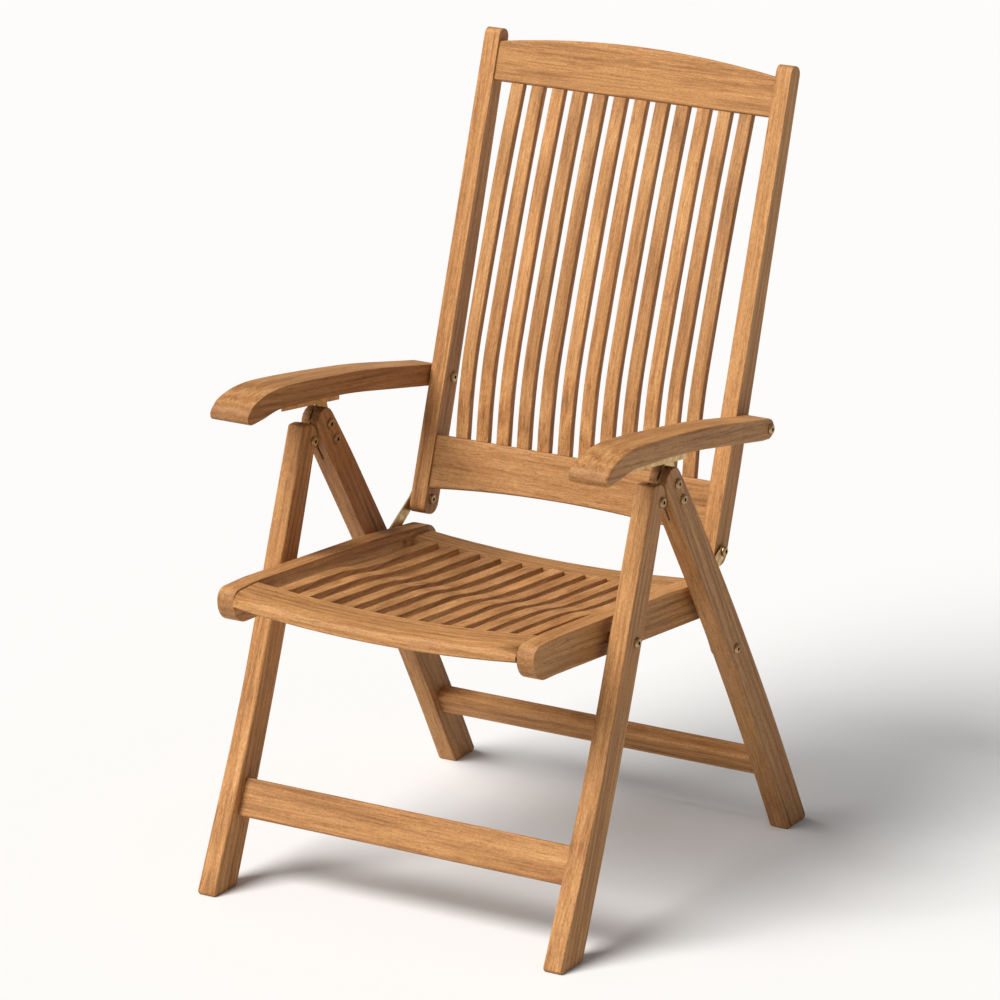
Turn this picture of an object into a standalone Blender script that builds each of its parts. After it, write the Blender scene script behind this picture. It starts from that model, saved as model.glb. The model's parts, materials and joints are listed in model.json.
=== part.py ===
"""Folding position armchair in solid wood with brass fittings.

The chair stands on Z = 0 and faces -Y; +X is the sitter's left-hand side seen from the front.
Side views are written as (y, z) pairs, and every board is such an outline given a thickness.
All the hinges run along X, so each moving body hangs from an empty on its own hinge.
Lengths are in metres and angles in degrees.
"""
import bpy
import bmesh
from math import cos, pi, radians, sin
from mathutils import Vector

# Hinge axes, as (y, z) in the side view before the whole chair is centred on its footprint
LEG_HINGE = Vector((-0.1190, 0.5834))
SEAT_HINGE = Vector((-0.1840, 0.4060))
RAIL_HINGE = Vector((0.0520, 0.3950))
LINK_HINGE = Vector((0.0940, 0.3164))
BACK_HINGE = Vector((0.1252, 0.4416))
ARM_HINGE = Vector((0.1847, 0.6066))
CENTRE_Y = -0.02497

# Layers across the chair, measured from the middle plane
LEG_IN, LEG_OUT = 0.2600, 0.2880
STILE_IN, STILE_OUT = 0.2202, 0.2445
RAIL_IN, RAIL_OUT = 0.2202, 0.2465
STRAP_IN, STRAP_OUT = 0.2475, 0.2500
LINK_IN, LINK_OUT = 0.2550, 0.2575
PLATE_IN, PLATE_OUT = 0.2725, 0.2755
ARM_IN = 0.2475
ARM_OUT_FRONT, ARM_OUT_REAR = 0.3070, 0.2870
CHANNEL_IN, CHANNEL_OUT = 0.2640, 0.2840
GAP = 0.0003

# Rear legs: gently bowed boards. Edges as (distance down the slope, distance behind the leg hinge)
REAR_SLOPE = radians(30.7)
REAR_TOP_R = 0.0207
REAR_FRONT_EDGE = [(0.000, 0.0168), (0.070, 0.0197), (0.150, 0.0232), (0.217, 0.0260), (0.350, 0.0285),
                   (0.476, 0.0285), (0.600, 0.0262), (0.710, 0.0218)]
REAR_REAR_EDGE = [(0.000, 0.0582), (0.080, 0.0646), (0.143, 0.0677), (0.207, 0.0708), (0.287, 0.0741),
                  (0.370, 0.0760), (0.470, 0.0772), (0.578, 0.0762), (0.662, 0.0741), (0.740, 0.0712)]
PIN_OFFSET = 0.0440

# Front legs: bowed the other way and wider towards the foot, edges given in the same manner
FRONT_SLOPE = radians(20.0)
FRONT_TOP_Z = 0.6100
FRONT_FRONT_EDGE = [(-0.030, -0.0295), (0.060, -0.0293), (0.150, -0.0287), (0.240, -0.0277),
                    (0.330, -0.0277), (0.390, -0.0297), (0.450, -0.0336), (0.510, -0.0385),
                    (0.570, -0.0437), (0.660, -0.0515)]
FRONT_REAR_EDGE = [(-0.030, 0.0060), (0.050, 0.0100), (0.130, 0.0130), (0.210, 0.0148), (0.280, 0.0156),
                   (0.350, 0.0152), (0.430, 0.0138), (0.510, 0.0115), (0.590, 0.0087), (0.660, 0.0055)]
FOOT_RADIUS = 0.005

# Back: leans away from the front face point at the top of the bottom rail
BACK_SLOPE = radians(17.94)
BACK_FOOT = Vector((0.1374, 0.5344))
STILE_LOW, STILE_HIGH = -0.1135, 0.5790
STILE_DEPTH, STILE_TOP_DEPTH, STILE_TAPER_FROM = 0.0375, 0.0258, 0.0200
TOP_RAIL_LOW, TOP_RAIL_END, TOP_RAIL_CROWN = 0.5048, 0.5607, 0.5775
BOTTOM_RAIL_MID, BOTTOM_RAIL_END = -0.0650, -0.0770
RAIL_FRONT_D, RAIL_REAR_D = 0.0030, 0.0250

# Slats
SLAT_COUNT = 12
BACK_PITCH, BACK_SLAT_WIDTH, BACK_SLAT_THICK = 0.0331, 0.0205, 0.0115
SEAT_PITCH, SEAT_SLAT_WIDTH, SEAT_SLAT_THICK = 0.0341, 0.0200, 0.0115
BACK_SLAT_CURVE = [(0.000, 0.007), (0.055, -0.003), (0.120, -0.0095), (0.200, -0.0092),
                   (0.290, -0.007), (0.400, -0.0025), (0.505, 0.005)]
SEAT_SLAT_CURVE = [(-0.322, 0.4415), (-0.240, 0.4350), (-0.170, 0.4285), (-0.110, 0.4175),
                   (-0.040, 0.4105), (0.072, 0.4020)]
SEAT_FRONT_Y, SEAT_REAR_Y = -0.3220, 0.0720
SEAT_SAG = 0.0110

# Brass
PIN_R, HEAD_R, HEAD_RISE = 0.0040, 0.0075, 0.0034
HOLE_R = PIN_R + GAP
COLLAR_R = 0.0085
CHANNEL_FRONT, CHANNEL_REAR = Vector((-0.190, 0.6535)), Vector((-0.045, 0.6345))
CHANNEL_DEPTH, CHANNEL_WALL = 0.0100, 0.0016
NOTCH_STEP, NOTCH_PIN_R, NOTCH_DROP = 0.0250, 0.0015, 0.0046
LUG_Y = -0.0770

WOOD = ("teak", (0.60, 0.36, 0.17, 1.0), 0.55, 0.0)
BRASS = ("brass", (0.72, 0.52, 0.24, 1.0), 0.30, 1.0)
SIDES = (("right", 1.0), ("left", -1.0))

pivots = {}
finishes = {}


def clear_scene():
    for item in list(bpy.data.objects):
        bpy.data.objects.remove(item, do_unlink=True)


# ---------------------------------------------------------------- places and outlines

def side_place(y, z, x):
    """A side-view outline point at a given distance across the chair."""
    return Vector((x, y, z))


def back_axes():
    up = Vector((sin(BACK_SLOPE), cos(BACK_SLOPE)))
    rearward = Vector((cos(BACK_SLOPE), -sin(BACK_SLOPE)))
    return up, rearward


def back_side(height, depth):
    """A point of the back in the side view, from its height along and depth behind the front face."""
    up, rearward = back_axes()
    return BACK_FOOT + up * height + rearward * depth


def back_place(x, height, depth):
    point = back_side(height, depth)
    return Vector((x, point.x, point.y))


def leg_side(down, rearward, slope=REAR_SLOPE):
    """A point near a leg: distance down its slope and behind the leg hinge."""
    along = Vector((sin(slope), -cos(slope)))
    across = Vector((cos(slope), sin(slope)))
    return LEG_HINGE + along * down + across * rearward


def rounded(corners, steps=4):
    """Outline with each corner (y, z, radius) replaced by an arc."""
    points = []
    count = len(corners)
    for index, (y, z, radius) in enumerate(corners):
        corner = Vector((y, z))
        if radius == 0.0:
            points.append(corner)
            continue
        to_prev = (Vector(corners[index - 1][:2]) - corner).normalized()
        to_next = (Vector(corners[(index + 1) % count][:2]) - corner).normalized()
        half = to_prev.angle(to_next) / 2.0
        reach = radius * cos(half) / sin(half)
        middle = corner + (to_prev + to_next).normalized() * (radius / sin(half))
        start = corner + to_prev * reach - middle
        turn = (pi - 2.0 * half) * (1.0 if to_prev.cross(to_next) < 0.0 else -1.0)
        for step in range(steps + 1):
            angle = turn * step / steps
            swung = Vector((start.x * cos(angle) - start.y * sin(angle),
                            start.x * sin(angle) + start.y * cos(angle)))
            points.append(middle + swung)
    return points


def smooth(points, steps=3):
    """Catmull-Rom curve through the given points."""
    known = [Vector(p) for p in points]
    known = [known[0] * 2.0 - known[1]] + known + [known[-1] * 2.0 - known[-2]]
    curve = []
    for i in range(1, len(known) - 2):
        for step in range(steps):
            t = step / steps
            curve.append(0.5 * (2.0 * known[i] + (known[i + 1] - known[i - 1]) * t
                                + (2.0 * known[i - 1] - 5.0 * known[i] + 4.0 * known[i + 1]
                                   - known[i + 2]) * t * t
                                + (3.0 * known[i] - 3.0 * known[i + 1] + known[i + 2]
                                   - known[i - 1]) * t ** 3))
    curve.append(known[-2])
    return curve


def thickened(curve, offset):
    """Closed outline between a curve and its parallel at the given distance."""
    far_side = []
    for index, point in enumerate(curve):
        before = curve[max(index - 1, 0)]
        after = curve[min(index + 1, len(curve) - 1)]
        along = (after - before).normalized()
        far_side.append(point + Vector((-along.y, along.x)) * offset)
    return list(curve) + far_side[::-1]


def square_ends(outline):
    """The thickened outline with its two ends cut square to the first direction."""
    half = len(outline) // 2
    for near, far in ((0, -1), (half - 1, half)):
        outline[far] = Vector((outline[near].x, outline[far].y))
    return outline


def bar_round(start, end, start_radius, end_radius, steps=6):
    """Outline of a flat bar with a round end about each of its two pins."""
    along = (end - start).normalized()
    heading = along.angle_signed(Vector((1.0, 0.0)))
    points = []
    for centre, radius, first in ((end, end_radius, -pi / 2), (start, start_radius, pi / 2)):
        for step in range(steps + 1):
            angle = heading + first + pi * step / steps
            points.append(centre + Vector((cos(angle), sin(angle))) * radius)
    return points


# ---------------------------------------------------------------- solids

def prism(outline, low, high, place=side_place):
    """Mesh of an outline extruded between two levels of the third direction."""
    bm = bmesh.new()
    ring = [bm.verts.new(place(p[0], p[1], low)) for p in outline]
    face = bm.faces.new(ring)
    grown = bmesh.ops.extrude_face_region(bm, geom=[face])
    moved = [v for v in grown["geom"] if isinstance(v, bmesh.types.BMVert)]
    by_place = {tuple(round(c, 6) for c in place(p[0], p[1], low)): p for p in outline}
    for vert in moved:
        p = by_place[tuple(round(c, 6) for c in vert.co)]
        vert.co = place(p[0], p[1], high)
    bmesh.ops.recalc_face_normals(bm, faces=bm.faces)
    return bm


def swept(rings):
    """Mesh through a row of closed rings, capped at both ends."""
    bm = bmesh.new()
    loops = []
    for ring in rings:
        verts = [bm.verts.new(p) for p in ring]
        loops.append(verts)
        for i, vert in enumerate(verts):
            bm.edges.new((vert, verts[(i + 1) % len(verts)]))
    for near, far in zip(loops, loops[1:]):
        edges = [bm.edges.get((vs[i], vs[(i + 1) % len(vs)])) for vs in (near, far) for i in range(len(vs))]
        bmesh.ops.bridge_loops(bm, edges=edges)
    bm.faces.new(loops[0])
    bm.faces.new(loops[-1])
    bmesh.ops.recalc_face_normals(bm, faces=bm.faces)
    return bm


def turned(profile, centre, sides=12):
    """Solid of revolution about an X axis through centre (y, z); profile is (x, radius) pairs."""
    bm = bmesh.new()
    verts = [bm.verts.new((x, centre.x + radius, centre.y)) for x, radius in profile]
    edges = [bm.edges.new(pair) for pair in zip(verts, verts[1:])]
    bmesh.ops.spin(bm, geom=verts + edges, cent=(0.0, centre.x, centre.y), axis=(1.0, 0.0, 0.0),
                   angle=2.0 * pi, steps=sides, use_merge=True)
    bmesh.ops.remove_doubles(bm, verts=bm.verts, dist=0.00001)
    bmesh.ops.recalc_face_normals(bm, faces=bm.faces)
    return bm


def bolt_profile(low, high, low_head=True, high_head=True, collar=None):
    """Domed heads outside low and high, a shank between, and an optional collar (from, to)."""
    head = [(0.0, HEAD_R), (HEAD_RISE * 0.45, HEAD_R * 0.93), (HEAD_RISE, HEAD_R * 0.45)]
    profile = []
    if low_head:
        profile += [(low - HEAD_RISE, 0.0)] + [(low - rise, r) for rise, r in reversed(head)]
    else:
        profile += [(low, 0.0)]
    profile.append((low, PIN_R))
    if collar:
        profile += [(collar[0], PIN_R), (collar[0], COLLAR_R), (collar[1], COLLAR_R), (collar[1], PIN_R)]
    profile.append((high, PIN_R))
    if high_head:
        profile += [(high + rise, r) for rise, r in head] + [(high + HEAD_RISE, 0.0)]
    else:
        profile += [(high, 0.0)]
    return profile


def mirrored(bm, side):
    """The same mesh on the other side of the middle plane when side is negative."""
    if side < 0.0:
        for vert in bm.verts:
            vert.co.x = -vert.co.x
        bmesh.ops.reverse_faces(bm, faces=bm.faces)
    return bm


# ---------------------------------------------------------------- objects

def body_empty(name, hinge, parent):
    """Empty on a body's own hinge axis, under the body that carries it."""
    empty = bpy.data.objects.new(name, None)
    empty.empty_display_size = 0.03
    bpy.context.collection.objects.link(empty)
    place = Vector((0.0, hinge[0] - CENTRE_Y, hinge[1]))
    base = pivots[parent][1] if parent else Vector((0.0, 0.0, 0.0))
    empty.location = place - base
    if parent:
        empty.parent = pivots[parent][0]
    pivots[name] = (empty, place)


def finish_material(finish):
    label, colour, roughness, metallic = finish
    if label not in finishes:
        material = bpy.data.materials.new(label)
        material.use_nodes = True
        shader = material.node_tree.nodes["Principled BSDF"]
        shader.inputs["Base Color"].default_value = colour
        shader.inputs["Roughness"].default_value = roughness
        shader.inputs["Metallic"].default_value = metallic
        material.diffuse_color = colour
        finishes[label] = material
    return finishes[label]


def add_object(name, bm, body, finish):
    """Object of a mesh given in chair coordinates, hung from its body's empty."""
    empty, place = pivots[body]
    bmesh.ops.translate(bm, verts=bm.verts, vec=Vector((0.0, -CENTRE_Y, 0.0)) - place)
    mesh = bpy.data.meshes.new(name)
    bm.to_mesh(mesh)
    bm.free()
    mesh.materials.append(finish_material(finish))
    mesh.shade_smooth()
    mesh.set_sharp_from_angle(angle=radians(35.0))
    item = bpy.data.objects.new(name, mesh)
    item.parent = empty
    bpy.context.collection.objects.link(item)
    return item


def add_tool(name, bm, body, finish, target, operation):
    """Hidden cutter or addition, applied to its target by a Boolean modifier."""
    tool = add_object(name, bm, body, finish)
    tool.hide_render = True
    tool.display_type = "WIRE"
    modifier = target.modifiers.new(name, "BOOLEAN")
    modifier.operation = operation
    modifier.solver = "EXACT"
    modifier.object = tool


def drill(target, body, centre, low, high, radius=HOLE_R):
    """Round hole along X through a piece."""
    over = 0.002
    profile = [(low - over, 0.0), (low - over, radius), (high + over, radius), (high + over, 0.0)]
    name = target.name + "_hole_%d" % len(target.modifiers)
    add_tool(name, turned(profile, centre), body, WOOD, target, "DIFFERENCE")


# ---------------------------------------------------------------- frames

def on_level(before, after, level):
    return before + (after - before) * ((level - before.y) / (after.y - before.y))


def leg_edge(points, slope):
    """Smooth edge of a leg, ended on the floor."""
    curve = [leg_side(down, rearward, slope) for down, rearward in smooth(points, 2)]
    standing = [p for p in curve if p.y > 0.004]
    return standing + [on_level(standing[-1], curve[len(standing)], 0.0)]


def rear_leg_outline():
    front = leg_edge(REAR_FRONT_EDGE, REAR_SLOPE)
    rear = leg_edge(REAR_REAR_EDGE, REAR_SLOPE)
    middle = (REAR_FRONT_EDGE[0][1] + REAR_REAR_EDGE[0][1]) / 2.0
    top = []
    for step in range(1, 8):
        angle = pi * step / 8.0
        top.append(leg_side(-REAR_TOP_R * sin(angle), middle + REAR_TOP_R * cos(angle)))
    corners = [(p.x, p.y, 0.0) for p in front[:-1]] + [(*front[-1], FOOT_RADIUS), (*rear[-1], FOOT_RADIUS)]
    corners += [(p.x, p.y, 0.0) for p in rear[-2::-1] + top]
    return rounded(corners, 3)


def front_leg_outline():
    front = leg_edge(FRONT_FRONT_EDGE, -FRONT_SLOPE)
    rear = leg_edge(FRONT_REAR_EDGE, -FRONT_SLOPE)
    front_top = on_level(front[0], front[1], FRONT_TOP_Z)
    rear_top = on_level(rear[0], rear[1], FRONT_TOP_Z)
    front = [p for p in front if p.y < FRONT_TOP_Z - 0.010]
    rear = [p for p in rear if p.y < FRONT_TOP_Z - 0.030]
    corners = [(*front_top, 0.004)] + [(p.x, p.y, 0.0) for p in front[:-1]]
    corners += [(*front[-1], FOOT_RADIUS), (*rear[-1], FOOT_RADIUS)]
    corners += [(p.x, p.y, 0.0) for p in rear[-2::-1]] + [(*rear_top, 0.018)]
    return rounded(corners, 4)


def plate_pins():
    """The two bolts that hold the leg plate in the rear leg."""
    return leg_side(0.009, PIN_OFFSET), leg_side(0.039, PIN_OFFSET)


def leg_plate_outline():
    upper, lower = plate_pins()
    hinge = LEG_HINGE
    return rounded([(hinge.x - 0.013, hinge.y + 0.002, 0.006), (hinge.x - 0.006, hinge.y - 0.014, 0.008),
                    (lower.x, lower.y - 0.011, 0.006), (lower.x + 0.011, lower.y + 0.002, 0.006),
                    (upper.x + 0.016, upper.y + 0.012, 0.008), (LUG_Y + 0.011, 0.6295, 0.003),
                    (LUG_Y - 0.011, 0.6295, 0.003), (LUG_Y - 0.0225, 0.6120, 0.005),
                    (hinge.x - 0.001, hinge.y + 0.015, 0.008)], 3)


def make_rear_frame():
    body_empty("rear_frame", (CENTRE_Y, 0.0), None)
    upper, lower = plate_pins()
    for label, side in SIDES:
        leg = add_object("rear_leg_" + label, mirrored(prism(rear_leg_outline(), LEG_IN, LEG_OUT), side),
                         "rear_frame", WOOD)
        low, high = sorted((side * LEG_IN, side * LEG_OUT))
        for pin in (upper, lower, LINK_HINGE):
            drill(leg, "rear_frame", pin, low, high)
        kerf = [leg_side(-0.03, -0.02), leg_side(0.058, -0.02), leg_side(0.058, 0.09), leg_side(-0.03, 0.09)]
        cutter = mirrored(prism(kerf, PLATE_IN - GAP, PLATE_OUT + GAP), side)
        add_tool(leg.name + "_kerf", cutter, "rear_frame", WOOD, leg, "DIFFERENCE")
        plate = add_object("leg_plate_" + label, mirrored(prism(leg_plate_outline(), PLATE_IN, PLATE_OUT), side),
                           "rear_frame", BRASS)
        for pin in (upper, lower):
            bolt = mirrored(turned(bolt_profile(LEG_IN - GAP, LEG_OUT + GAP), pin), side)
            add_tool(plate.name + "_bolt_%d" % len(plate.modifiers), bolt, "rear_frame", BRASS, plate, "UNION")
        drill(plate, "rear_frame", LEG_HINGE, *sorted((side * PLATE_IN, side * PLATE_OUT)))
        bolt = turned(bolt_profile(LEG_IN, LEG_OUT + GAP, low_head=False), LINK_HINGE)
        add_object("link_bolt_" + label, mirrored(bolt, side), "rear_frame", BRASS)
    corners = [leg_side(0.566, 0.038), leg_side(0.566, 0.063), leg_side(0.602, 0.063), leg_side(0.602, 0.038)]
    outline = rounded([(p.x, p.y, 0.004) for p in corners], 2)
    reach = LEG_IN - GAP
    add_object("rear_stretcher", prism(outline, -reach, reach), "rear_frame", WOOD)


def make_links():
    body_empty("link_arms", LINK_HINGE, "rear_frame")
    for label, side in SIDES:
        outline = bar_round(LINK_HINGE, RAIL_HINGE, 0.0135, 0.0115)
        link = add_object("seat_link_" + label, mirrored(prism(outline, LINK_IN, LINK_OUT), side),
                          "link_arms", BRASS)
        rivet = [(LINK_IN - 0.0016, 0.0), (LINK_IN - 0.0016, 0.0030), (LINK_IN - 0.0006, 0.0050),
                 (LINK_IN + 0.0008, 0.0050), (LINK_IN + 0.0008, 0.0)]
        add_tool(link.name + "_rivet", mirrored(turned(rivet, LINK_HINGE, 10), side), "link_arms", BRASS,
                 link, "UNION")


def make_front_frame():
    body_empty("front_frame", LEG_HINGE, "rear_frame")
    for label, side in SIDES:
        leg = add_object("front_leg_" + label, mirrored(prism(front_leg_outline(), LEG_IN, LEG_OUT), side),
                         "front_frame", WOOD)
        low, high = sorted((side * LEG_IN, side * LEG_OUT))
        drill(leg, "front_frame", LEG_HINGE, low, high)
        drill(leg, "front_frame", SEAT_HINGE, low, high)
        front, under = LEG_HINGE.x - 0.0140, LEG_HINGE.y - 0.0430
        kerf = [(front, under), (0.0, under), (0.0, 0.7), (front, 0.7)]
        cutter = mirrored(prism(kerf, PLATE_IN - GAP, PLATE_OUT + GAP), side)
        add_tool(leg.name + "_kerf", cutter, "front_frame", WOOD, leg, "DIFFERENCE")
        pivot = turned(bolt_profile(LEG_IN - GAP, LEG_OUT + GAP), LEG_HINGE)
        add_object("leg_bolt_" + label, mirrored(pivot, side), "front_frame", BRASS)
        collar = (RAIL_OUT + GAP, LEG_IN - GAP)
        pivot = turned(bolt_profile(RAIL_IN - GAP, LEG_OUT + GAP, collar=collar), SEAT_HINGE)
        add_object("seat_bolt_" + label, mirrored(pivot, side), "front_frame", BRASS)
    outline = rounded([(-0.2980, 0.1500, 0.003), (-0.3195, 0.1005, 0.003),
                       (-0.3021, 0.0929, 0.003), (-0.2806, 0.1424, 0.003)], 2)
    reach = LEG_IN - GAP
    add_object("front_stretcher", prism(outline, -reach, reach), "front_frame", WOOD)


# ---------------------------------------------------------------- seat

def seat_rail_outline():
    corners = [(-0.3830, 0.4480, 0.016), (-0.3830, 0.3990, 0.032), (-0.3250, 0.3960, 0.060),
               (0.1410, 0.3545, 0.018), (0.1410, 0.4030, 0.030), (-0.0300, 0.4235, 0.6), (-0.3180, 0.4465, 0.100)]
    return rounded(corners, 7)


def seat_drop(x):
    """How far the dished seat lies below the side rails at a distance across."""
    return SEAT_SAG * (1.0 - (x / RAIL_IN) ** 2)


def cross_rail(section, bow):
    """Cross rail of a given section, dished downwards, its front face bowed forwards in the middle."""
    reach = RAIL_IN - GAP
    front, rear = min(p.x for p in section), max(p.x for p in section)
    rings = []
    for step in range(13):
        x = -reach + 2.0 * reach * step / 12
        drop = seat_drop(x)
        pull = bow * drop / SEAT_SAG / (rear - front)
        rings.append([Vector((x, p.x - pull * (rear - p.x), p.y - drop)) for p in section])
    return swept(rings)


def make_seat():
    body_empty("seat", SEAT_HINGE, "front_frame")
    for label, side in SIDES:
        rail = add_object("seat_side_rail_" + label, mirrored(prism(seat_rail_outline(), RAIL_IN, RAIL_OUT), side),
                          "seat", WOOD)
        low, high = sorted((side * RAIL_IN, side * RAIL_OUT))
        drill(rail, "seat", SEAT_HINGE, low, high)
        drill(rail, "seat", RAIL_HINGE, low, high)
    front = rounded([(-0.3850, 0.4450, 0.018), (-0.3850, 0.4225, 0.011),
                     (SEAT_FRONT_Y, 0.4205, 0.0), (SEAT_FRONT_Y, 0.4450, 0.003)], 4)
    add_object("seat_front_rail", cross_rail(front, 0.004), "seat", WOOD)
    rear = rounded([(SEAT_REAR_Y, 0.4010, 0.003), (SEAT_REAR_Y, 0.3770, 0.003),
                    (0.1230, 0.3730, 0.005), (0.1230, 0.3980, 0.006)], 2)
    add_object("seat_rear_rail", cross_rail(rear, 0.0), "seat", WOOD)
    for index in range(SLAT_COUNT):
        x = (index - (SLAT_COUNT - 1) / 2.0) * SEAT_PITCH
        curve = smooth(SEAT_SLAT_CURVE)
        curve[0] = curve[0] + Vector((GAP, 0.0))
        curve[-1] = curve[-1] - Vector((GAP, 0.0))
        low, high = x - SEAT_SLAT_WIDTH / 2.0, x + SEAT_SLAT_WIDTH / 2.0
        drop = max(seat_drop(low), seat_drop(high))
        outline = [p - Vector((0.0, drop)) for p in square_ends(thickened(curve, -SEAT_SLAT_THICK))]
        add_object("seat_slat_%02d" % (index + 1), prism(outline, low, high), "seat", WOOD)


def make_straps():
    body_empty("back_straps", RAIL_HINGE, "seat")
    for label, side in SIDES:
        outline = bar_round(RAIL_HINGE, BACK_HINGE, 0.0105, 0.0085)
        strap = add_object("back_strap_" + label, mirrored(prism(outline, STRAP_IN, STRAP_OUT), side),
                           "back_straps", BRASS)
        rivet = [(RAIL_IN - 0.0020, 0.0), (RAIL_IN - 0.0020, PIN_R), (STRAP_OUT + 0.0004, PIN_R),
                 (STRAP_OUT + 0.0004, 0.0065), (STRAP_OUT + 0.0024, 0.0050), (STRAP_OUT + 0.0024, 0.0)]
        add_tool(strap.name + "_rivet", mirrored(turned(rivet, RAIL_HINGE), side), "back_straps", BRASS,
                 strap, "UNION")
        drill(strap, "back_straps", BACK_HINGE, *sorted((side * STRAP_IN, side * STRAP_OUT)))


# ---------------------------------------------------------------- back

def back_board(outline, low_depth, high_depth):
    return prism(outline, low_depth, high_depth, back_place)


def arched(x_reach, base, end, middle, steps=12):
    """Outline from a straight edge at base to an arched edge that is at end on the sides."""
    points = [(-x_reach, base), (x_reach, base)]
    for step in range(steps + 1):
        x = x_reach - 2.0 * x_reach * step / steps
        points.append((x, middle + (end - middle) * (x / x_reach) ** 2))
    return points


def stile_outline():
    corners = [(STILE_LOW, 0.0, 0.012), (STILE_LOW, STILE_DEPTH, 0.018),
               (STILE_TAPER_FROM, STILE_DEPTH, 0.5),
               (STILE_HIGH, STILE_TOP_DEPTH, 0.0125), (STILE_HIGH, 0.0, 0.0110)]
    return [back_side(height, depth) for height, depth in rounded(corners, 6)]


def make_back():
    body_empty("back", BACK_HINGE, "back_straps")
    for label, side in SIDES:
        stile = add_object("back_stile_" + label, mirrored(prism(stile_outline(), STILE_IN, STILE_OUT), side),
                           "back", WOOD)
        low, high = sorted((side * STILE_IN, side * STILE_OUT))
        drill(stile, "back", BACK_HINGE, low, high)
        drill(stile, "back", ARM_HINGE, low, high)
        bolt = turned(bolt_profile(STILE_IN - GAP, STRAP_OUT + GAP), BACK_HINGE)
        add_object("back_bolt_" + label, mirrored(bolt, side), "back", BRASS)
    reach = STILE_IN - GAP
    top = arched(reach, TOP_RAIL_LOW, TOP_RAIL_END, TOP_RAIL_CROWN)
    add_object("back_top_rail", back_board(top, RAIL_FRONT_D, RAIL_REAR_D), "back", WOOD)
    bottom = arched(reach, 0.0, BOTTOM_RAIL_END, BOTTOM_RAIL_MID)
    add_object("back_bottom_rail", back_board(bottom, RAIL_FRONT_D, RAIL_REAR_D), "back", WOOD)
    for index in range(SLAT_COUNT):
        x = (index - (SLAT_COUNT - 1) / 2.0) * BACK_PITCH
        curve = smooth(BACK_SLAT_CURVE)
        curve[0] = Vector((GAP, curve[0].y))
        curve[-1] = Vector((TOP_RAIL_LOW - GAP, curve[-1].y))
        outline = [back_side(height, depth) for height, depth in square_ends(thickened(curve, BACK_SLAT_THICK))]
        low, high = x - BACK_SLAT_WIDTH / 2.0, x + BACK_SLAT_WIDTH / 2.0
        add_object("back_slat_%02d" % (index + 1), prism(outline, low, high), "back", WOOD)


# ---------------------------------------------------------------- arms

def arm_outline():
    top = smooth([(-0.2960, 0.6700), (-0.2800, 0.6800), (-0.235, 0.6870), (-0.160, 0.6812), (0.000, 0.6583),
                  (0.100, 0.6389), (0.172, 0.6241)], 4)
    under = smooth([(0.165, 0.5945), (0.075, 0.6125), (-0.030, 0.6330), (-0.104, 0.6440),
                    (-0.180, 0.6530), (-0.225, 0.6572), (-0.262, 0.6535)], 4)
    tail = []
    for step in range(9):
        angle = radians(77.0 - 167.0 * step / 8.0)
        tail.append(ARM_HINGE + Vector((cos(angle), sin(angle))) * 0.0145)
    nose = [(-0.2870, 0.6521), (-0.2930, 0.6525), (-0.2975, 0.6545), (-0.3002, 0.6580), (-0.3008, 0.6625),
            (-0.2992, 0.6666)]
    return top + tail + under + [Vector(p) for p in nose]


def arm_mesh():
    """Arm board whose outer face runs closer in towards the rear."""
    bm = prism(arm_outline(), ARM_IN, ARM_OUT_FRONT)
    front_y, rear_y = -0.2800, 0.2000
    for vert in bm.verts:
        if vert.co.x > ARM_IN + 0.01:
            t = (vert.co.y - front_y) / (rear_y - front_y)
            vert.co.x = ARM_OUT_FRONT + (ARM_OUT_REAR - ARM_OUT_FRONT) * t
    return bm


def channel_meshes():
    """Brass channel under the arm, open downwards, and the cross pins that stop it on the lug."""
    along = (CHANNEL_REAR - CHANNEL_FRONT).normalized()
    down = Vector((along.y, -along.x))
    wall = CHANNEL_WALL
    section = [(CHANNEL_IN, 0.0), (CHANNEL_OUT, 0.0), (CHANNEL_OUT, CHANNEL_DEPTH),
               (CHANNEL_OUT - wall, CHANNEL_DEPTH), (CHANNEL_OUT - wall, wall),
               (CHANNEL_IN + wall, wall), (CHANNEL_IN + wall, CHANNEL_DEPTH), (CHANNEL_IN, CHANNEL_DEPTH)]

    def place(x, drop, distance):
        point = CHANNEL_FRONT + along * distance + down * drop
        return Vector((x, point.x, point.y))

    length = (CHANNEL_REAR - CHANNEL_FRONT).length
    channel = prism(section, 0.0, length, place)
    pins = []
    rest = (LUG_Y - CHANNEL_FRONT.x) / along.x
    for number in range(5):
        centre = place(0.0, NOTCH_DROP, rest - number * NOTCH_STEP)
        profile = [(CHANNEL_IN + 0.0005, 0.0), (CHANNEL_IN + 0.0005, NOTCH_PIN_R),
                   (CHANNEL_OUT - 0.0005, NOTCH_PIN_R), (CHANNEL_OUT - 0.0005, 0.0)]
        pins.append(turned(profile, Vector((centre.y, centre.z)), 8))
    return channel, pins


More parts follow.
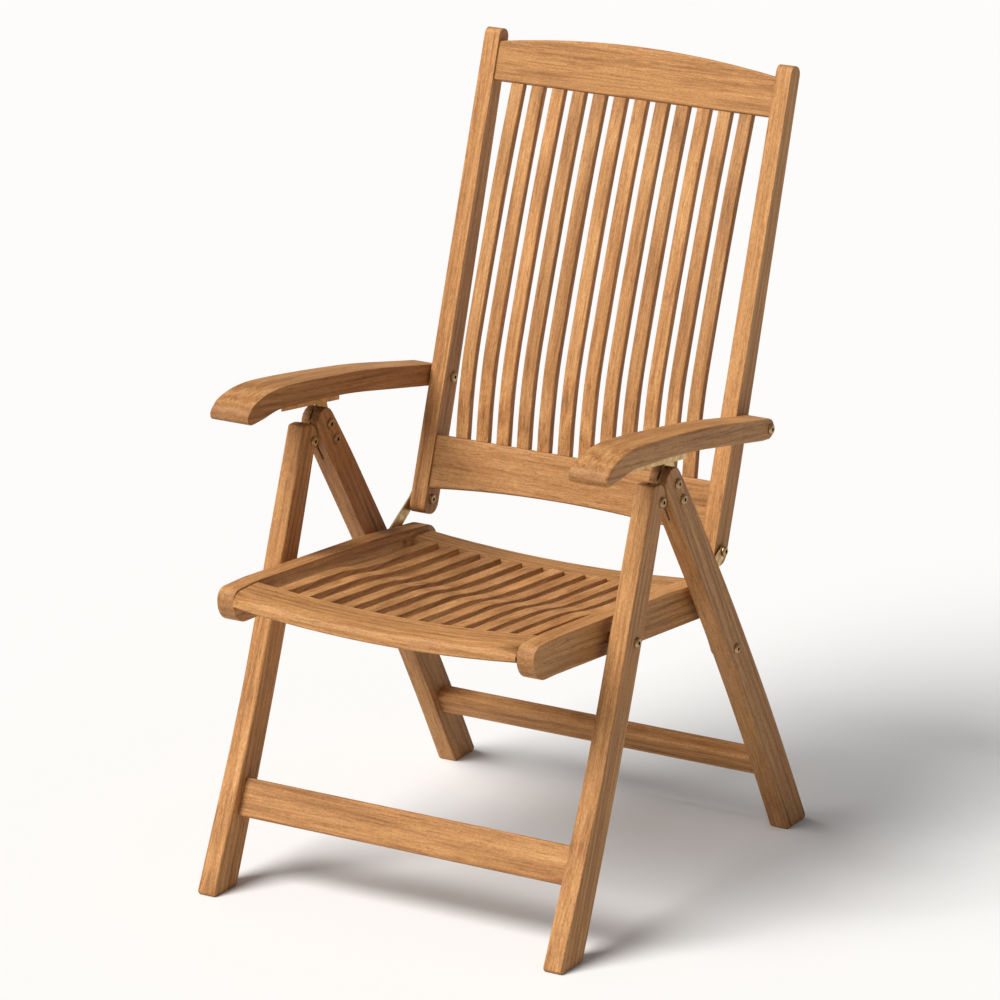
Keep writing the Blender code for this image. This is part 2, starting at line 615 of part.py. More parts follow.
def make_arms():
    for label, side in SIDES:
        outer = ARM_OUT_REAR + 0.0012
        bolt = turned(bolt_profile(STILE_IN - GAP, outer), ARM_HINGE)
        add_object("arm_bolt_" + label, mirrored(bolt, side), "back", BRASS)
        washer = turned([(STILE_OUT + GAP, HOLE_R), (STILE_OUT + GAP, 0.0110), (ARM_IN - GAP, 0.0110),
                         (ARM_IN - GAP, HOLE_R), (STILE_OUT + GAP, HOLE_R)], ARM_HINGE, 16)
        add_object("arm_washer_" + label, mirrored(washer, side), "back", BRASS)
        body = "arm_" + label
        body_empty(body, ARM_HINGE, "back")
        arm = add_object("armrest_" + label, mirrored(arm_mesh(), side), body, WOOD)
        drill(arm, body, ARM_HINGE, *sorted((side * ARM_IN, side * ARM_OUT_REAR)))
        channel_mesh, pins = channel_meshes()
        channel = add_object("arm_channel_" + label, mirrored(channel_mesh, side), body, BRASS)
        for number, pin in enumerate(pins):
            add_tool(channel.name + "_pin_%d" % number, mirrored(pin, side), body, BRASS, channel, "UNION")


clear_scene()
make_rear_frame()
make_links()
make_front_frame()
make_seat()
make_straps()
make_back()
make_arms()
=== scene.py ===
# %% [markdown]
# # A folding position armchair in teak and brass
# The chair folds flat: two crossed pairs of legs turn on a bolt under each arm, the back hangs
# on the seat by two brass straps, and a row of pins in a channel under each arm sets how far the
# back leans. The CAD frame already holds every part at its true size. This lesson gives each
# part the softened edges, the wood grain and the aged brass of the real thing.

# %% Load the frame
import bpy
import bmesh
import json
import random
from math import cos, pi, radians, sin
from mathutils import Matrix, Vector


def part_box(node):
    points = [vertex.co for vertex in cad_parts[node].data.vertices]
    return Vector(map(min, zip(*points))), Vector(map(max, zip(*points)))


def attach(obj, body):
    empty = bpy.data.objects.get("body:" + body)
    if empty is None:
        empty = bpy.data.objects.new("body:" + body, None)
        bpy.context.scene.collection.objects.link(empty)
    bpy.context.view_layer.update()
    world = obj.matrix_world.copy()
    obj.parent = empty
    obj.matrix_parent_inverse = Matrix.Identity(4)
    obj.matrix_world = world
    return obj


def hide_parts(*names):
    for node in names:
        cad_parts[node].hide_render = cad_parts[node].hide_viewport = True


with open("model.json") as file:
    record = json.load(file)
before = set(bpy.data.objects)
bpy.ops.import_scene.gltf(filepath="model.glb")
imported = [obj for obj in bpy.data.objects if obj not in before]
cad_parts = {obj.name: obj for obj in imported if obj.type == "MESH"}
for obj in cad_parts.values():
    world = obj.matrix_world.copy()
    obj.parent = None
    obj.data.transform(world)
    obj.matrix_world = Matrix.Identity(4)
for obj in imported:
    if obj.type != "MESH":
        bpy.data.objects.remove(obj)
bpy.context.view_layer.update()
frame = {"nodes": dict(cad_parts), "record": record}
nodes = frame["nodes"]
body_of = {}
for body, members in frame["record"]["behaviour"]["bodies"].items():
    for member in members:
        body_of[member] = body

# %% [markdown]
# ## Which way the grain runs
# A joiner cuts every member with the fibres running along its length, so the pattern has to
# follow each member and not the world axes. Each family of parts gets one direction along the
# fibres. Splitting the pattern by family keeps legs, rails and slats honest from every side.

# %% Directions of the members
REAR_SLOPE = radians(30.7)
FRONT_SLOPE = radians(20.0)
BACK_SLOPE = radians(17.94)
ACROSS = Vector((1.0, 0.0, 0.0))
REARWARD = Vector((0.0, 1.0, 0.0))
DOWN_REAR_LEG = Vector((0.0, sin(REAR_SLOPE), -cos(REAR_SLOPE)))
DOWN_FRONT_LEG = Vector((0.0, -sin(FRONT_SLOPE), -cos(FRONT_SLOPE)))
UP_BACK = Vector((0.0, sin(BACK_SLOPE), cos(BACK_SLOPE)))
ALONG_SEAT = Vector((0.0, 1.0, -0.10)).normalized()
ALONG_ARM = Vector((0.0, 1.0, -0.14)).normalized()

# name start, fibre direction, edge radius, whether the ends are free, slot
WOOD_FAMILIES = [
    ("rear_leg_", DOWN_REAR_LEG, 0.0036, True, "teak_frame"),
    ("front_leg_", DOWN_FRONT_LEG, 0.0036, True, "teak_frame"),
    ("rear_stretcher", ACROSS, 0.0, False, "teak_frame"),
    ("front_stretcher", ACROSS, 0.0, False, "teak_frame"),
    ("seat_side_rail_", ALONG_SEAT, 0.0044, True, "teak_seat"),
    ("seat_front_rail", ACROSS, 0.0, False, "teak_seat"),
    ("seat_rear_rail", ACROSS, 0.0, False, "teak_seat"),
    ("seat_slat_", REARWARD, 0.0015, False, "teak_slat"),
    ("back_stile_", UP_BACK, 0.0042, True, "teak_back"),
    ("back_top_rail", ACROSS, 0.0030, False, "teak_back"),
    ("back_bottom_rail", ACROSS, 0.0030, False, "teak_back"),
    ("back_slat_", UP_BACK, 0.0022, False, "teak_slat"),
    ("armrest_", ALONG_ARM, 0.0042, True, "teak_arm"),
]
BRASS_PLATES = ("leg_plate_", "seat_link_", "back_strap_", "arm_channel_")

# %% [markdown]
# ## Where the bolts are
# Every hinge is a bolt along X, and the rounding tool has to leave the drilled holes and the saw
# kerfs for the brass plates alone: a hole that is softened would swallow the bolt head. The axes
# are measured from the bolts' own boxes, so they stay right if the frame changes.

# %% Measure the bolt axes
def axis_of(node):
    low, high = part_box(node)
    return ((low.y + high.y) / 2.0, (low.z + high.z) / 2.0)


LEG_AXIS = axis_of("leg_bolt_left")
SEAT_AXIS = axis_of("seat_bolt_left")
LINK_AXIS = axis_of("link_bolt_left")
BACK_AXIS = axis_of("back_bolt_left")
ARM_AXIS = axis_of("arm_bolt_left")
STRAP_END_R = 0.0105
strap_low, strap_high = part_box("back_strap_left")
RAIL_AXIS = (strap_low.y + STRAP_END_R, strap_low.z + STRAP_END_R)


def leg_point(down, rearward):
    along = Vector((sin(REAR_SLOPE), -cos(REAR_SLOPE)))
    back = Vector((cos(REAR_SLOPE), sin(REAR_SLOPE)))
    spot = Vector(LEG_AXIS) + along * down + back * rearward
    return (spot.x, spot.y)


PLATE_AXES = [leg_point(0.009, 0.044), leg_point(0.039, 0.044)]
# layers across the chair, inner and outer, measured from the middle plane
LEG_IN, LEG_OUT = 0.2600, 0.2880
RAIL_IN, RAIL_OUT = 0.2202, 0.2465
STILE_IN, STRAP_OUT = 0.2202, 0.2500
ARM_BOLT_OUT = 0.2882
GAP = 0.0003
HOLE_AXES = [LEG_AXIS, SEAT_AXIS, LINK_AXIS, BACK_AXIS, ARM_AXIS, RAIL_AXIS] + PLATE_AXES
HOLE_REACH = 0.0052
KERF_FROM, KERF_TO = 0.2700, 0.2778
print("leg axis", [round(c, 4) for c in LEG_AXIS], "arm axis", [round(c, 4) for c in ARM_AXIS])


def in_hole(vert):
    for y, z in HOLE_AXES:
        if (vert.co.y - y) ** 2 + (vert.co.z - z) ** 2 < HOLE_REACH ** 2:
            return True
    return False


def in_kerf(vert):
    return KERF_FROM < abs(vert.co.x) < KERF_TO

# %% [markdown]
# ## Softened edges
# Outdoor furniture is run past a rounding cutter and then sanded, so no edge is sharp where a
# hand or a leg touches it. A live bevel modifier would round the holes too. A bmesh bevel takes
# a given list of edges, so only the true arrises are rounded, each family by its own
# radius, and the ends that butt into a neighbour stay square.

# %% Round the arrises
MERGE_DISTANCE = 0.00002
FLAT = radians(0.3)
SHARP = radians(30.0)
SEGMENTS = 4


def merged_mesh(node):
    """The node's triangles joined into closed flat-faced mesh."""
    bm = bmesh.new()
    bm.from_mesh(nodes[node].data)
    bmesh.ops.remove_doubles(bm, verts=bm.verts, dist=MERGE_DISTANCE)
    bmesh.ops.dissolve_limit(bm, angle_limit=FLAT, verts=bm.verts, edges=bm.edges)
    bmesh.ops.recalc_face_normals(bm, faces=bm.faces)
    return bm


def arrises(bm, along, free_ends):
    found = []
    for edge in bm.edges:
        if len(edge.link_faces) != 2 or edge.calc_face_angle(0.0) < SHARP:
            continue
        near, far = edge.verts
        if (in_hole(near) and in_hole(far)) or (in_kerf(near) and in_kerf(far)):
            continue
        heading = (far.co - near.co).normalized()
        if not free_ends and abs(heading.dot(along)) < 0.8:
            continue
        found.append(edge)
    return found


def round_edges(bm, edges, radius):
    """Bevels the edges and returns the vertices inside the rounded strips."""
    made = bmesh.ops.bevel(bm, geom=edges, offset=radius, offset_type="OFFSET", segments=SEGMENTS,
                           profile=0.5, affect="EDGES", clamp_overlap=True, material=-1)
    strips = set(made["faces"])
    inner = set()
    for face in strips:
        for vert in face.verts:
            if all(linked in strips for linked in vert.link_faces):
                inner.add(vert)
    return inner

# %% [markdown]
# ## Grain coordinates
# Wood is a stack of growth layers, and what shows on a face is a slice through that stack. Each
# vertex stores its distance along the fibres, across them and through the board, plus a
# different start for each board, so that no two slats are alike. A second value marks the
# rounded edges, which get a paler colour for wear and a painted highlight and a lower roughness
# for a light polish, and a third marks end grain.

# %% Write the grain on a mesh
random.seed(7)
END_FROM, END_TO = 0.55, 0.90
TONE_LOW, TONE_HIGH = 0.86, 1.10
RAIL_TILT = 0.30


def write_grain(bm, along, inner, tone):
    """Attributes that the teak reads: grain, tone, edge and endgrain."""
    through = ACROSS if abs(along.x) < 0.5 else Vector((0.0, sin(RAIL_TILT), cos(RAIL_TILT)))
    across = along.cross(through).normalized()
    start = Vector((random.uniform(0, 9), random.uniform(0, 3), random.uniform(0, 3)))
    grain = bm.verts.layers.float_vector.new("grain")
    shade = bm.verts.layers.float.new("tone")
    # marks the rounded edge strips, where the paler wear and painted highlight go
    wear_and_highlight = bm.verts.layers.float.new("edge")
    cut = bm.loops.layers.float.new("endgrain")
    for vert in bm.verts:
        place = Vector((vert.co.dot(along), vert.co.dot(across), vert.co.dot(through)))
        vert[grain] = place + start
        vert[shade] = tone
        vert[wear_and_highlight] = 1.0 if vert in inner else 0.0
    for face in bm.faces:
        ahead = abs(face.normal.dot(along))
        value = min(max((ahead - END_FROM) / (END_TO - END_FROM), 0.0), 1.0)
        for loop in face.loops:
            loop[cut] = value


def piece_of(bm, name, body, material, sharp=40.0):
    """Object that rides on a body, with smooth, area-weighted normals."""
    mesh = bpy.data.meshes.new(name)
    bm.to_mesh(mesh)
    bm.free()
    mesh.materials.append(material)
    mesh.shade_smooth()
    mesh.set_sharp_from_angle(angle=radians(sharp))
    piece = bpy.data.objects.new(name, mesh)
    bpy.context.scene.collection.objects.link(piece)
    weighted = piece.modifiers.new("weighted", "WEIGHTED_NORMAL")
    weighted.keep_sharp = True
    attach(piece, body)
    return piece

# %% [markdown]
# ## Teak
# Oiled teak is a warm honey brown with straight, slightly wavy figure, fine open pores that run
# as dark dashes along the fibres, and boards that differ in tone. The colour is built in
# layers: broad figure, fine fibre, dark pores, then darker end grain and paler rounded edges,
# which are partly wear and partly a painted highlight. All of it comes from the grain
# coordinates, so it turns with the part when the chair folds.

# %% Helpers for node materials
def new_material(name):
    material = bpy.data.materials.new(name)
    material.use_nodes = True
    return material, material.node_tree


def add(tree, kind, **settings):
    node = tree.nodes.new(kind)
    for key, value in settings.items():
        setattr(node, key, value)
    return node


def feed(tree, source, target):
    """Links an output to an input, or sets a constant on the input."""
    if isinstance(source, bpy.types.NodeSocket):
        tree.links.new(source, target)
    else:
        target.default_value = source


def read(tree, attribute, output="Fac"):
    return add(tree, "ShaderNodeAttribute", attribute_name=attribute).outputs[output]


def noise(tree, vector, scale, detail=3.0, roughness=0.5, distortion=0.0):
    node = add(tree, "ShaderNodeTexNoise")
    feed(tree, vector, node.inputs["Vector"])
    feed(tree, scale, node.inputs["Scale"])
    feed(tree, detail, node.inputs["Detail"])
    feed(tree, roughness, node.inputs["Roughness"])
    feed(tree, distortion, node.inputs["Distortion"])
    return node.outputs["Fac"]


def stretch(tree, vector, scale):
    node = add(tree, "ShaderNodeMapping")
    feed(tree, vector, node.inputs["Vector"])
    feed(tree, scale, node.inputs["Scale"])
    return node.outputs["Vector"]


def math(tree, operation, first, second=0.0, third=0.0):
    node = add(tree, "ShaderNodeMath", operation=operation)
    for socket, source in zip(node.inputs, (first, second, third)):
        feed(tree, source, socket)
    return node.outputs[0]


def ramp(tree, source, stops):
    node = add(tree, "ShaderNodeValToRGB")
    feed(tree, source, node.inputs["Fac"])
    elements = node.color_ramp.elements
    while len(elements) < len(stops):
        elements.new(0.5)
    for element, (place, colour) in zip(elements, stops):
        element.position = place
        element.color = (*colour, 1.0)
    return node.outputs["Color"]


def span(tree, source, low, high, to_low=0.0, to_high=1.0):
    node = add(tree, "ShaderNodeMapRange", clamp=True)
    for name, value in (("Value", source), ("From Min", low), ("From Max", high),
                        ("To Min", to_low), ("To Max", to_high)):
        feed(tree, value, node.inputs[name])
    return node.outputs["Result"]


def mix(tree, factor, first, second, blend="MIX"):
    node = add(tree, "ShaderNodeMix", data_type="RGBA", blend_type=blend)
    feed(tree, factor, node.inputs[0])
    feed(tree, first, node.inputs[6])
    feed(tree, second, node.inputs[7])
    return node.outputs[2]


def bump(tree, height, distance, strength, normal=None):
    node = add(tree, "ShaderNodeBump")
    feed(tree, height, node.inputs["Height"])
    feed(tree, distance, node.inputs["Distance"])
    feed(tree, strength, node.inputs["Strength"])
    if normal is not None:
        feed(tree, normal, node.inputs["Normal"])
    return node.outputs["Normal"]

# %% The teak
TEAK_DARK = (0.200, 0.078, 0.023)
TEAK_MID = (0.425, 0.200, 0.070)
TEAK_PALE = (0.590, 0.312, 0.124)
TEAK_END = (0.190, 0.080, 0.030)
# paler colour on the rounded edges: partly wear, partly a painted highlight
TEAK_WEAR_AND_HIGHLIGHT = (0.640, 0.350, 0.145)


def make_teak():
    material, tree = new_material("teak")
    shader = tree.nodes["Principled BSDF"]
    grain = read(tree, "grain", "Vector")
    warp = noise(tree, stretch(tree, grain, (2.2, 9.0, 9.0)), 1.0, 2.0)
    figure = noise(tree, stretch(tree, grain, (2.4, 70.0, 70.0)), 1.0, 4.0, 0.55, 0.5)
    rings = add(tree, "ShaderNodeTexWave", wave_type="BANDS", bands_direction="Y")
    feed(tree, stretch(tree, grain, (0.5, 9.0, 6.0)), rings.inputs["Vector"])
    feed(tree, 3.2, rings.inputs["Scale"])
    feed(tree, 5.5, rings.inputs["Distortion"])
    feed(tree, 2.0, rings.inputs["Detail"])
    feed(tree, 1.1, rings.inputs["Detail Scale"])
    fibre = noise(tree, stretch(tree, grain, (13.0, 300.0, 300.0)), 1.0, 4.0, 0.62)
    pores = noise(tree, stretch(tree, grain, (38.0, 520.0, 520.0)), 1.0, 2.0, 0.5)
    fleck = noise(tree, stretch(tree, grain, (240.0, 560.0, 560.0)), 1.0, 2.0, 0.6)
    blend = math(tree, "MULTIPLY", figure, 0.34)
    blend = math(tree, "MULTIPLY_ADD", rings.outputs["Fac"], 0.10, blend)
    blend = math(tree, "MULTIPLY_ADD", fibre, 0.54, blend)
    blend = math(tree, "MULTIPLY_ADD", warp, 0.14, blend)
    blend = math(tree, "ADD", blend, -0.05)
    colour = ramp(tree, blend, [(0.30, TEAK_DARK), (0.50, TEAK_MID), (0.70, TEAK_PALE)])
    dark_pore = span(tree, pores, 0.58, 0.70, 0.0, 0.55)
    colour = mix(tree, dark_pore, colour, (*TEAK_DARK, 1.0))
    speck = span(tree, fleck, 0.25, 0.75, 0.76, 1.22)
    tone = math(tree, "MULTIPLY", speck, read(tree, "tone"))
    shade = add(tree, "ShaderNodeCombineColor")
    for socket in shade.inputs[:3]:
        feed(tree, tone, socket)
    colour = mix(tree, 1.0, colour, shade.outputs[0], "MULTIPLY")
    end_spots = span(tree, noise(tree, grain, 900.0, 2.0), 0.35, 0.65, 0.20, 0.62)
    end = math(tree, "MULTIPLY", read(tree, "endgrain"), end_spots)
    colour = mix(tree, end, colour, (*TEAK_END, 1.0))
    # Paler patchy strips on the rounded edges: partly wear, partly a painted highlight along the edges.
    patchy = span(tree, noise(tree, grain, 38.0, 3.0), 0.40, 0.62, 0.05, 0.42)
    wear_and_highlight = math(tree, "MULTIPLY", read(tree, "edge"), patchy)
    colour = mix(tree, wear_and_highlight, colour, (*TEAK_WEAR_AND_HIGHLIGHT, 1.0))
    feed(tree, colour, shader.inputs["Base Color"])
    rough = math(tree, "MULTIPLY_ADD", fibre, 0.26, 0.44)
    rough = math(tree, "MULTIPLY_ADD", wear_and_highlight, -0.12, rough)
    feed(tree, rough, shader.inputs["Roughness"])
    feed(tree, 0.20, shader.inputs["Specular IOR Level"])
    ridges = math(tree, "MULTIPLY_ADD", pores, -0.8, fibre)
    feed(tree, bump(tree, ridges, 0.0006, 0.45), shader.inputs["Normal"])
    return material


teak = make_teak()
print("teak nodes", len(teak.node_tree.nodes))

# %% [markdown]
# ## The wooden members
# Each board is one piece that takes the place of its CAD node. Its outline stays exactly where
# the frame has it, because the rounding only takes wood away.

# %% Build the wooden members
def family_of(node):
    for family in WOOD_FAMILIES:
        if node.startswith(family[0]):
            return family
    return None


def make_board(node):
    family = family_of(node)
    start, along, radius, free_ends, slot = family
    bm = merged_mesh(node)
    inner = set()
    if radius > 0.0:
        inner = round_edges(bm, arrises(bm, along, free_ends), radius)
    bmesh.ops.recalc_face_normals(bm, faces=bm.faces)
    write_grain(bm, along, inner, random.uniform(TONE_LOW, TONE_HIGH))
    piece = piece_of(bm, "look_" + node, body_of[node], teak)
    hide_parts(node)
    return piece


boards = [make_board(node) for node in sorted(nodes) if family_of(node)]
print("boards", len(boards), "faces", sum(len(b.data.polygons) for b in boards))

# %% [markdown]
# ## Brass
# The fittings are solid brass that has stood outdoors: a golden metal with a brown film that
# lies thickest in the hollows, brushed by fine scratches and a little brighter where it rubs.
# A metal shader takes its colour from the reflection, so the film is a change of colour and
# roughness together.

# %% The brass
BRASS_BRIGHT = (0.640, 0.440, 0.190)
BRASS_DULL = (0.300, 0.190, 0.090)


def make_brass(name, bright, dull, film):
    material, tree = new_material(name)
    shader = tree.nodes["Principled BSDF"]
    place = add(tree, "ShaderNodeTexCoord").outputs["Object"]
    cloud = noise(tree, place, 95.0, 4.0, 0.6)
    spots = noise(tree, place, 620.0, 3.0, 0.6)
    lines = noise(tree, stretch(tree, place, (1400.0, 130.0, 1400.0)), 1.0, 2.0)
    cover = span(tree, math(tree, "MULTIPLY_ADD", spots, 0.35, cloud), 0.50, 0.86, 0.0, film)
    colour = mix(tree, cover, (*bright, 1.0), (*dull, 1.0))
    feed(tree, colour, shader.inputs["Base Color"])
    feed(tree, 1.0, shader.inputs["Metallic"])
    rough = math(tree, "MULTIPLY_ADD", cover, 0.30, 0.24)
    rough = math(tree, "MULTIPLY_ADD", lines, 0.10, rough)
    feed(tree, rough, shader.inputs["Roughness"])
    feed(tree, bump(tree, lines, 0.0002, 0.25), shader.inputs["Normal"])
    return material


plate_brass = make_brass("brass_plates", BRASS_BRIGHT, BRASS_DULL, 0.75)
bolt_brass = make_brass("brass_bolts", (0.560, 0.370, 0.170), (0.230, 0.140, 0.070), 0.85)
# Near-black material for the hex sockets: painted shade in the socket recesses.
socket_painted_shade, socket_tree = new_material("bolt_socket_painted_shade")
socket_shader = socket_tree.nodes["Principled BSDF"]
socket_shade_noise = noise(socket_tree, add(socket_tree, "ShaderNodeTexCoord").outputs["Object"], 800.0, 3.0)
socket_shade_stops = [(0.3, (0.020, 0.012, 0.006)), (0.7, (0.070, 0.040, 0.018))]
feed(socket_tree, ramp(socket_tree, socket_shade_noise, socket_shade_stops), socket_shader.inputs["Base Color"])
feed(socket_tree, 0.7, socket_shader.inputs["Roughness"])
feed(socket_tree, 0.6, socket_shader.inputs["Metallic"])

# %% [markdown]
# ## Plates, links, straps and channels
# These are stamped from sheet, so their rims are only just broken. The same bevel does it, with
# half a millimetre and two segments.

# %% Build the sheet brass
PLATE_RIM = 0.0005
RIM_ANGLE = radians(50.0)
HEAD_CUT = 0.001


def cut_heads(bm):
    """Removes the plain bolt heads fused to a leg plate; finished heads take their place."""
    side = 1.0 if sum(v.co.x for v in bm.verts) > 0.0 else -1.0
    for level, way in ((LEG_IN + HEAD_CUT, -1.0), (LEG_OUT - HEAD_CUT, 1.0)):
        parts = bm.verts[:] + bm.edges[:] + bm.faces[:]
        bmesh.ops.bisect_plane(bm, geom=parts, dist=0.00001, plane_co=(side * level, 0.0, 0.0),
                               plane_no=(side * way, 0.0, 0.0), clear_outer=True)
        bmesh.ops.holes_fill(bm, edges=[e for e in bm.edges if e.is_boundary])


def make_plate(node):
    bm = merged_mesh(node)
    if node.startswith("leg_plate_"):
        cut_heads(bm)
    rims = [e for e in bm.edges if len(e.link_faces) == 2 and e.calc_face_angle(0.0) > RIM_ANGLE]
    bmesh.ops.bevel(bm, geom=rims, offset=PLATE_RIM, offset_type="OFFSET", segments=2, profile=0.5,
                    affect="EDGES", clamp_overlap=True, material=-1)
    bmesh.ops.recalc_face_normals(bm, faces=bm.faces)
    piece = piece_of(bm, "look_" + node, body_of[node], plate_brass)
    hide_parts(node)
    return piece


plates = [make_plate(node) for node in sorted(nodes) if node.startswith(BRASS_PLATES)]
print("plates", len(plates), "faces", sum(len(p.data.polygons) for p in plates))

# %% [markdown]
# ## Bolts
# A furniture bolt has a low domed head with a hexagon socket, turned at both ends because the
# nut is a sleeve with the same head. The head is drawn as rings: the wall, the dome, the rim of
# the socket pulled into a hexagon, and the socket floor. Rings of the same count bridge into a
# clean surface that a spin alone could not give, since a hexagon is not round.

# %% Build the bolts
RING = 48
HEAD_R = 0.0074
HEAD_RISE = 0.0036
SOCKET_R = 0.0029
SOCKET_DEPTH = 0.0024
PIN_R = 0.0040
COLLAR_R = 0.0085
WALL_RISE = 0.0010
CHAMFER = 0.0002
DOME_TURN, DOME_STEPS = radians(74.0), 6
DOME_INNER = 0.42


def circle(x, radius, hexagon=False):
    points = []
    for step in range(RING):
        angle = 2.0 * pi * step / RING
        reach = radius
        if hexagon:
            sector = (angle % (pi / 3.0)) - pi / 6.0
            reach = radius * cos(pi / 6.0) / cos(sector)
        points.append((x, reach * cos(angle), reach * sin(angle)))
    return points


def head_rings(face, way):
    """Rings from the shank outwards over a head whose seat is at x = face."""
    rings = [circle(face, PIN_R), circle(face, HEAD_R - CHAMFER), circle(face + way * CHAMFER, HEAD_R)]
    rings.append(circle(face + way * WALL_RISE, HEAD_R))
    for step in range(1, DOME_STEPS + 1):
        angle = DOME_TURN * step / DOME_STEPS
        rise = WALL_RISE + (HEAD_RISE - WALL_RISE) * sin(angle)
        rings.append(circle(face + way * rise, HEAD_R * (DOME_INNER + (1.0 - DOME_INNER) * cos(angle))))
    top = face + way * HEAD_RISE
    rings.append(circle(top, SOCKET_R * 1.10))
    rings.append(circle(top - way * CHAMFER, SOCKET_R, True))
    rings.append(circle(top - way * SOCKET_DEPTH, SOCKET_R * 0.97, True))
    return rings


def bolt_mesh(rings):
    """Closed mesh through a row of rings."""
    bm = bmesh.new()
    loops = []
    for ring in rings:
        verts = [bm.verts.new(point) for point in ring]
        for i, vert in enumerate(verts):
            bm.edges.new((vert, verts[(i + 1) % RING]))
        loops.append(verts)
    for near, far in zip(loops, loops[1:]):
        edges = [bm.edges.get((side[i], side[(i + 1) % RING])) for side in (near, far) for i in range(RING)]
        bmesh.ops.bridge_loops(bm, edges=edges)
    for cap in (loops[0], loops[-1]):
        bm.faces.new(cap)
    bmesh.ops.recalc_face_normals(bm, faces=bm.faces)
    return bm


def paint_socket_shade(bm, low, high):
    """Second material, a near-black painted shade, inside the sockets, between the two outer faces of the
    bolt.
    """
    for face in bm.faces:
        centre = face.calc_center_median()
        radius = (centre.y ** 2 + centre.z ** 2) ** 0.5
        deep = min(abs(centre.x - low), abs(centre.x - high))
        if radius < SOCKET_R * 1.02 and deep > 0.0004:
            face.material_index = 1


def add_bolt(name, axis, low, high, body, replaced, collar=None, low_head=True):
    """Bolt along X through axis, with its heads seated at low and high."""
    rings = []
    if low_head:
        rings += head_rings(low, -1.0)[::-1]
        low_face = low - HEAD_RISE
    else:
        rings += [circle(low, PIN_R)]
        low_face = low
    if collar:
        rings += [circle(collar[0], PIN_R), circle(collar[0], COLLAR_R), circle(collar[1], COLLAR_R),
                  circle(collar[1], PIN_R)]
    rings += head_rings(high, 1.0)
    bm = bolt_mesh(rings)
    # faces inside the sockets take the painted shade
    paint_socket_shade(bm, low_face, high + HEAD_RISE)
    turn = random.uniform(0.0, pi)
    bmesh.ops.rotate(bm, verts=bm.verts, cent=(0, 0, 0), matrix=Matrix.Rotation(turn, 3, "X"))
    bmesh.ops.translate(bm, verts=bm.verts, vec=(0.0, axis[0], axis[1]))
    piece = piece_of(bm, name, body, bolt_brass, 34.0)
    # second slot holds the painted shade for the sockets
    piece.data.materials.append(socket_painted_shade)
    if replaced:
        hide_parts(replaced)
    return piece


def mirror_bolt(piece):
    """The same bolt on the other side of the middle plane."""
    for vert in piece.data.vertices:
        vert.co.x = -vert.co.x
    piece.data.flip_normals()
    return piece


BOLTS = [
    ("leg_bolt", LEG_AXIS, LEG_IN - GAP, LEG_OUT + GAP, None, True, True),
    ("seat_bolt", SEAT_AXIS, RAIL_IN - GAP, LEG_OUT + GAP, (RAIL_OUT + GAP, LEG_IN - GAP), True, True),
    ("link_bolt", LINK_AXIS, LEG_IN, LEG_OUT + GAP, None, False, True),
    ("back_bolt", BACK_AXIS, STILE_IN - GAP, STRAP_OUT + GAP, None, True, True),
    ("arm_bolt", ARM_AXIS, STILE_IN - GAP, ARM_BOLT_OUT, None, True, True),
    ("plate_bolt_upper", PLATE_AXES[0], LEG_IN - GAP, LEG_OUT + GAP, None, True, False),
    ("plate_bolt_lower", PLATE_AXES[1], LEG_IN - GAP, LEG_OUT + GAP, None, True, False),
]
bolts = []
for label in ("left", "right"):
    for name, axis, low, high, collar, low_head, is_node in BOLTS:
        node = name + "_" + label
        body = body_of[node] if is_node else "rear_frame"
        bolt = add_bolt("look_" + node, axis, low, high, body, node if is_node else None, collar, low_head)
        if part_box("leg_bolt_" + label)[0].x < 0.0:
            mirror_bolt(bolt)
        bolts.append(bolt)
print("bolts", len(bolts))

# %% [markdown]
# ## Washers beside the arms
# A flat washer keeps each arm off the back. It is a plain ring with its corners broken, made by
# beveling the CAD ring like the sheet brass.

# %% Build the washers
washers = [make_plate("arm_washer_" + label) for label in ("left", "right")]
print("washers", len(washers))

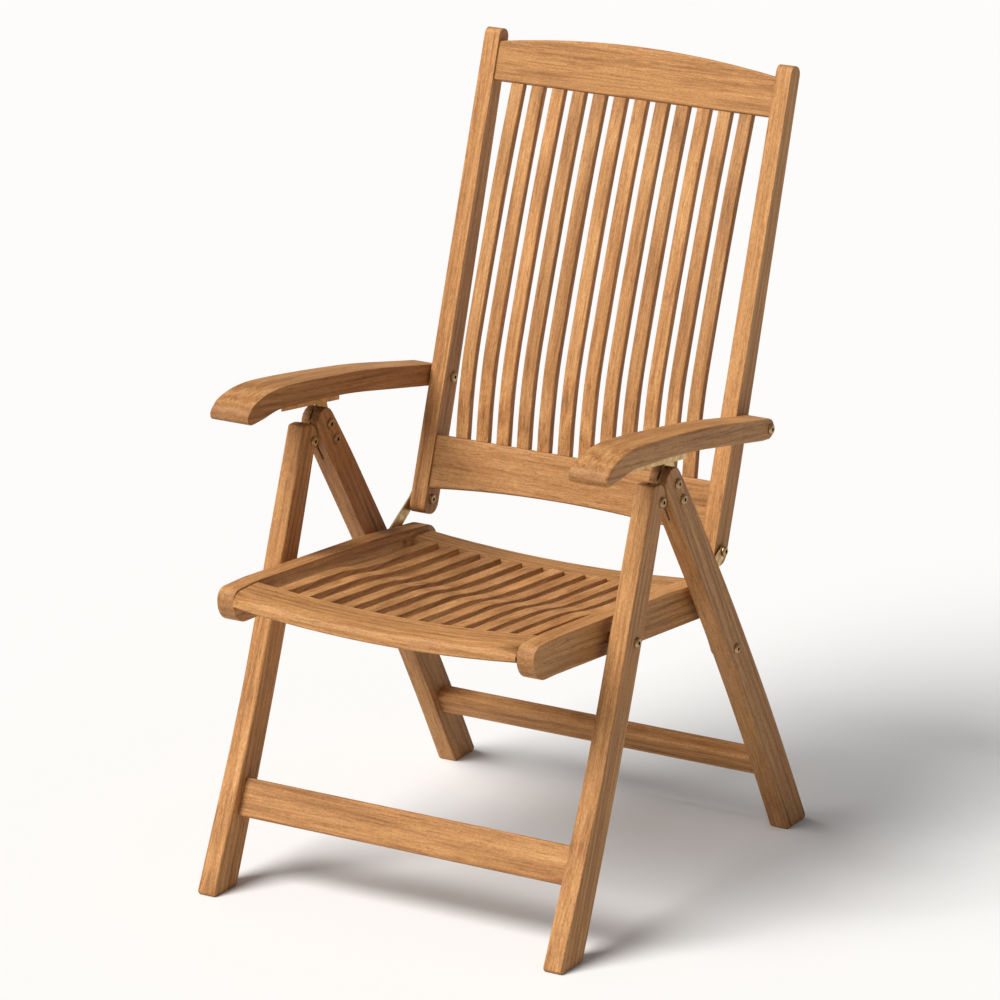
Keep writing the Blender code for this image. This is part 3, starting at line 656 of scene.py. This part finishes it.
# %% [markdown]
# ## Floor and light
# A catalogue set: a pale floor that runs on to the horizon, one broad key light high in front
# and to the sitter's right, and a weak pale world as fill. A sun lamp with a wide angle gives
# the same soft light all over the floor, so the floor stays even. The fronts of the members are
# the brightest faces and the outer sides fall into shade, so every member can be read apart.

# %% Floor
floor_bm = bmesh.new()
bmesh.ops.create_grid(floor_bm, x_segments=2, y_segments=2, size=30.0)
floor_mesh = bpy.data.meshes.new("floor")
floor_bm.to_mesh(floor_mesh)
floor_bm.free()
floor = bpy.data.objects.new("floor", floor_mesh)
bpy.context.scene.collection.objects.link(floor)
floor_material, floor_tree = new_material("pale_floor")
floor_shader = floor_tree.nodes["Principled BSDF"]
feed(floor_tree, (0.74, 0.74, 0.74, 1.0), floor_shader.inputs["Base Color"])
feed(floor_tree, 0.9, floor_shader.inputs["Roughness"])
feed(floor_tree, 0.0, floor_shader.inputs["Specular IOR Level"])
floor_mesh.materials.append(floor_material)

# %% Lamps and world
sun_light = bpy.data.lights.new("key", "SUN")
sun_light.energy = 4.45
sun_light.angle = radians(34.0)
sun_light.color = (1.0, 0.985, 0.96)
sun = bpy.data.objects.new("key", sun_light)
KEY_PLACE = Vector((-1.7, -3.0, 4.1))
sun.rotation_euler = (-KEY_PLACE).to_track_quat("-Z", "Y").to_euler()
bpy.context.scene.collection.objects.link(sun)
world = bpy.data.worlds.new("studio")
world.use_nodes = True
backdrop = world.node_tree.nodes["Background"]
backdrop.inputs["Color"].default_value = (0.96, 0.98, 1.0, 1.0)
backdrop.inputs["Strength"].default_value = 0.25
bpy.context.scene.world = world
bpy.context.scene.view_settings.view_transform = "Standard"

# %% [markdown]
# ## Camera
# A long lens from above and to one side keeps the verticals nearly parallel and shows the front,
# the top and one flank of the chair at once.

# %% Camera
camera_data = bpy.data.cameras.new("camera")
camera_data.lens = 201.9
camera_data.sensor_width = 36.0
camera = bpy.data.objects.new("camera", camera_data)
camera.location = (3.7373, -6.2947, 2.8013)
camera.rotation_euler = (radians(72.66), 0.0, radians(30.82))
bpy.context.scene.collection.objects.link(camera)
bpy.context.scene.camera = camera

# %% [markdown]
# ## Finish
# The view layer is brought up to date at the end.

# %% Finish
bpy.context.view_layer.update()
